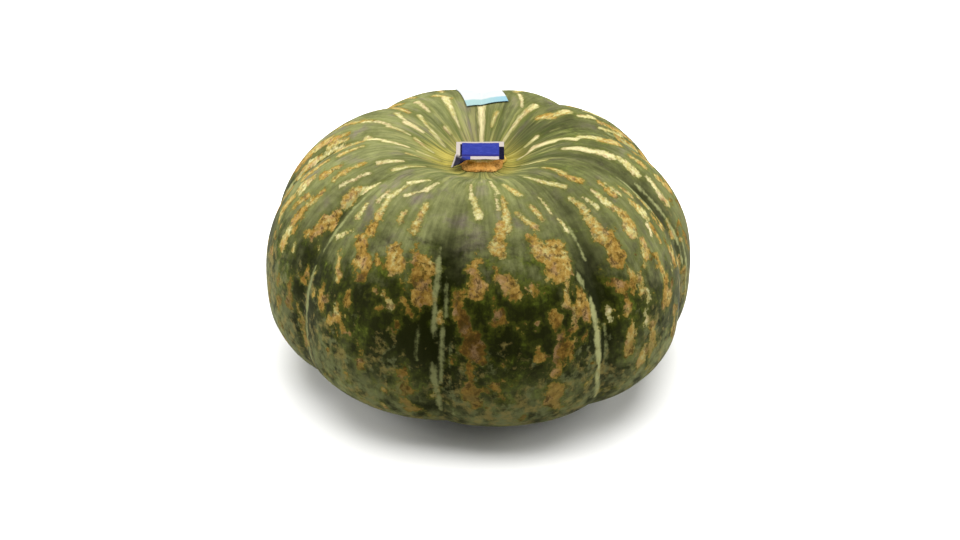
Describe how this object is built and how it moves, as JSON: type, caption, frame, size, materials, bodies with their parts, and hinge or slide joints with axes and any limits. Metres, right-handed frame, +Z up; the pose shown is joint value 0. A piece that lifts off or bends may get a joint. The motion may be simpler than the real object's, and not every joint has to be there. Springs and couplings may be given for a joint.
{
  "type": "kabocha squash",
  "caption": "Whole squat ribbed kabocha squash with mottled green rind, a short corky stem stump in a dimple, and plain paper fruit stickers.",
  "frame": {"origin": "on the surface that the squash stands on, under the middle of the fruit's box", "axes": "+Z up along the fruit's axis towards the stem; -Y towards the front view, +X to its right"},
  "size_m": [0.1776, 0.1796, 0.0996],
  "materials": {
    "rind": "waxy green rind, striped and mottled with cream and ochre",
    "stem_cork": "dry corky stem, ridged and cracked",
    "blue_paper": "printed paper sticker, plain blue with a white margin",
    "pale_paper": "paper sticker, plain white with a pale blue band"
  },
  "bodies": {
    "root": {"fruit": "rind", "stem": "stem_cork", "stem_sticker": "blue_paper", "far_sticker": "pale_paper"}
  },
  "joints": []
}
